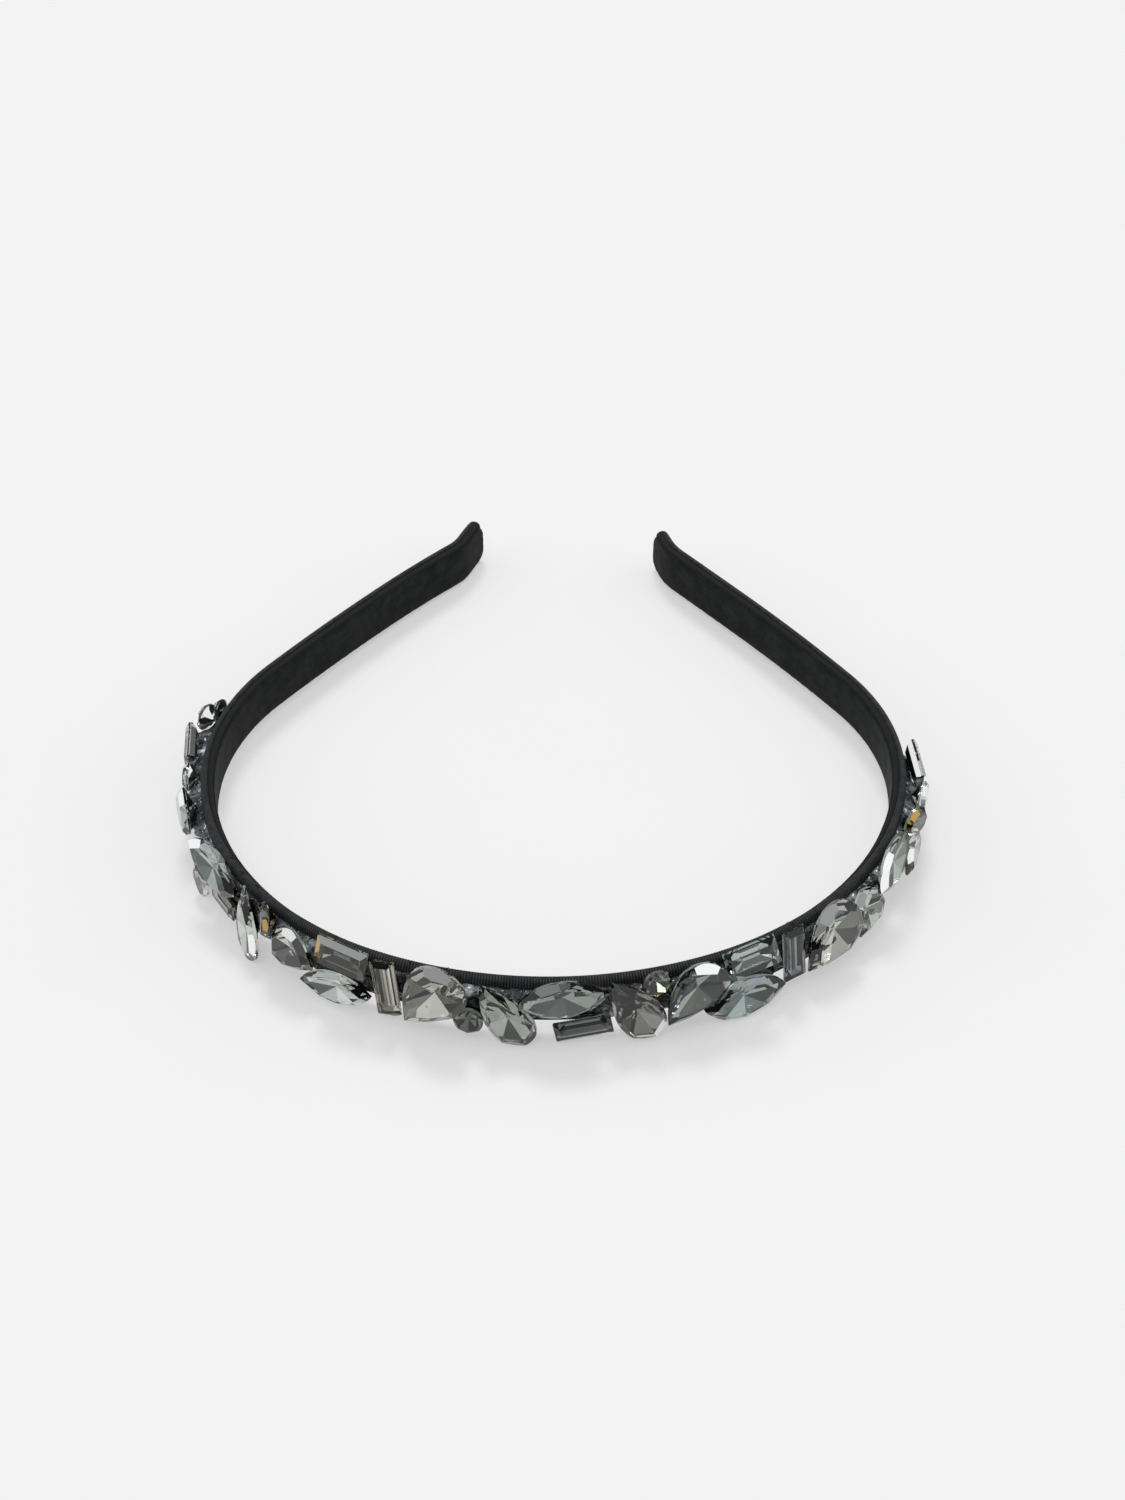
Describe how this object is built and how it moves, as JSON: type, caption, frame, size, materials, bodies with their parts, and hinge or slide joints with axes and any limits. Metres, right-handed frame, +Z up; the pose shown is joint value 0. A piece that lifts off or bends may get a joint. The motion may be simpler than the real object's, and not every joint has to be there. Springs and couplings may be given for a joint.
{
  "type": "rhinestone headband",
  "caption": "Slim headband wrapped in black ribbed ribbon with a soft lining, its crown set outside with a close row of smoky grey foil-backed cut-glass stones in mixed shapes.",
  "frame": {"origin": "on the table it lies on, at the middle of the whole headband's plan", "axes": "+Z up as it lies, +Y from the stone-set crown to the two open tips, +X towards the arm on the right as seen from outside the crown"},
  "size_m": [0.143, 0.1391, 0.0186],
  "materials": {
    "ribbon": "matt fine-ribbed ribbon, near black",
    "lining": "soft short-napped cloth, near black with a brown cast",
    "glue": "clear glue over black ribbon, glossy and uneven",
    "stones": "smoky grey cut glass with a foiled back, high gloss"
  },
  "bodies": {
    "root": {"band": "ribbon", "lining": "lining", "glue_bed": "glue", "round_1": "stones", "round_2": "stones", "baguette_1": "stones", "round_3": "stones", "pear_1": "stones", "marquise_1": "stones", "pear_2": "stones", "baguette_2": "stones", "pear_3": "stones", "round_4": "stones", "pear_4": "stones", "baguette_3": "stones", "marquise_2": "stones", "baguette_4": "stones", "pear_5": "stones", "round_5": "stones", "pear_6": "stones", "marquise_3": "stones", "baguette_5": "stones", "pear_7": "stones", "round_6": "stones", "pear_8": "stones", "marquise_4": "stones", "baguette_6": "stones", "baguette_7": "stones", "pear_9": "stones", "pear_10": "stones", "marquise_5": "stones", "pear_11": "stones", "round_7": "stones", "round_8": "stones", "baguette_8": "stones"}
  },
  "joints": []
}
